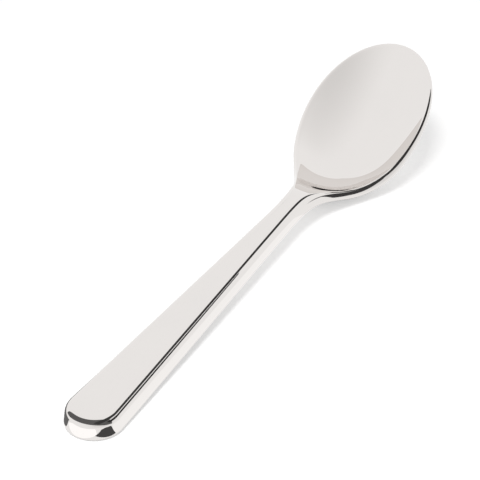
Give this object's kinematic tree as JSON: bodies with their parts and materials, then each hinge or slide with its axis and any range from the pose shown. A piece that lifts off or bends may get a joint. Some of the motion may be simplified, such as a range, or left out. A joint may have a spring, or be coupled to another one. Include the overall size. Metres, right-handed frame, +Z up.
{
  "type": "coffee spoon",
  "caption": "Polished steel coffee spoon with a flat tapering handle, a rounded end, a narrow neck and an oval hollow bowl that rises towards its tip, for stirring and sipping.",
  "frame": {"origin": "on the table under the middle of the spoon's length, on its plane of symmetry", "axes": "+X along the spoon from the handle's end to the tip of the bowl, +Y across it, +Z up, with the hollow of the bowl facing up"},
  "size_m": [0.135, 0.0286, 0.0212],
  "materials": {
    "polished_steel": "mirror-polished stainless steel"
  },
  "bodies": {
    "root": {"spoon": "polished_steel"}
  },
  "joints": []
}
